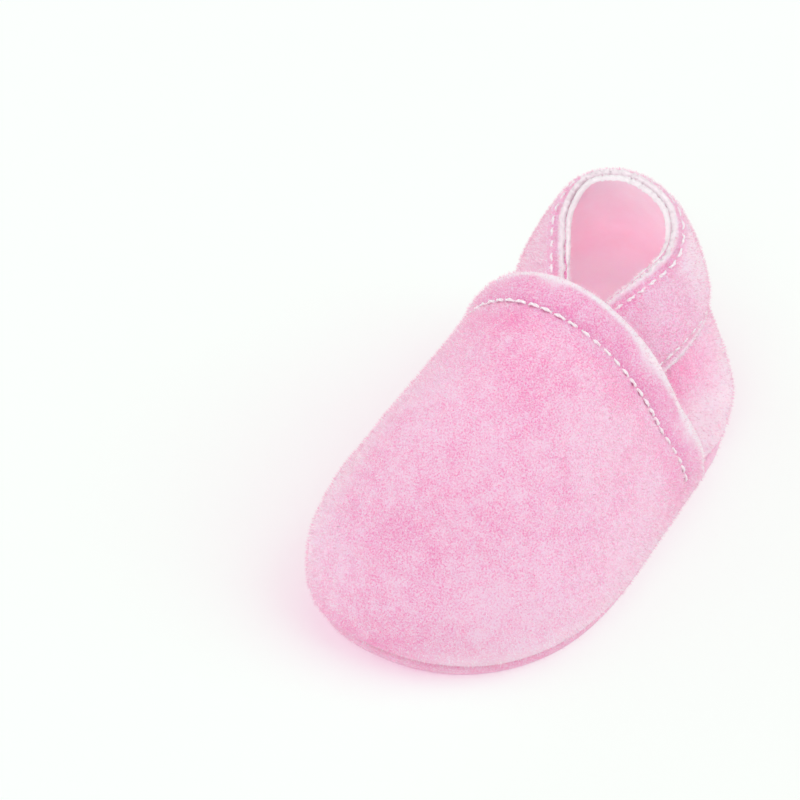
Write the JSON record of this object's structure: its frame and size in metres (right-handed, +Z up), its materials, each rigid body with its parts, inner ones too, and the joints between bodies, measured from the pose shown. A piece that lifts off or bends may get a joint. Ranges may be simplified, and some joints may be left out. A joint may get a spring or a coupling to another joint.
{
  "type": "baby bootie",
  "caption": "Soft suede baby bootie with a rounded toe, a folded throat hem, a wrapped heel quarter and an elastic ankle band.",
  "frame": {"origin": "on the flat underside of the sole, midway between toe and heel", "axes": "+Z up, toes towards -Y, heel towards +Y, +X to the wearer's right"},
  "size_m": [0.065, 0.1193, 0.0601],
  "materials": {
    "sole_suede": "napped suede, deeper pink",
    "fleece": "brushed curly fleece, soft pink",
    "vamp_suede": "napped suede, pale pink",
    "quarter_suede": "napped suede, pink",
    "band_suede": "napped suede, pale pink, raw cut edges",
    "elastic": "knitted elastic tape, off-white",
    "thread": "spun polyester thread, near white"
  },
  "bodies": {
    "root": {"outsole": "sole_suede", "insole": "fleece", "vamp": "vamp_suede", "heel_quarter": "quarter_suede", "ankle_band": "band_suede", "ankle_elastic": "elastic", "throat_stitching": "thread", "band_top_stitching": "thread", "band_bottom_stitching": "thread", "sole_seam_stitching": "thread"}
  },
  "joints": []
}
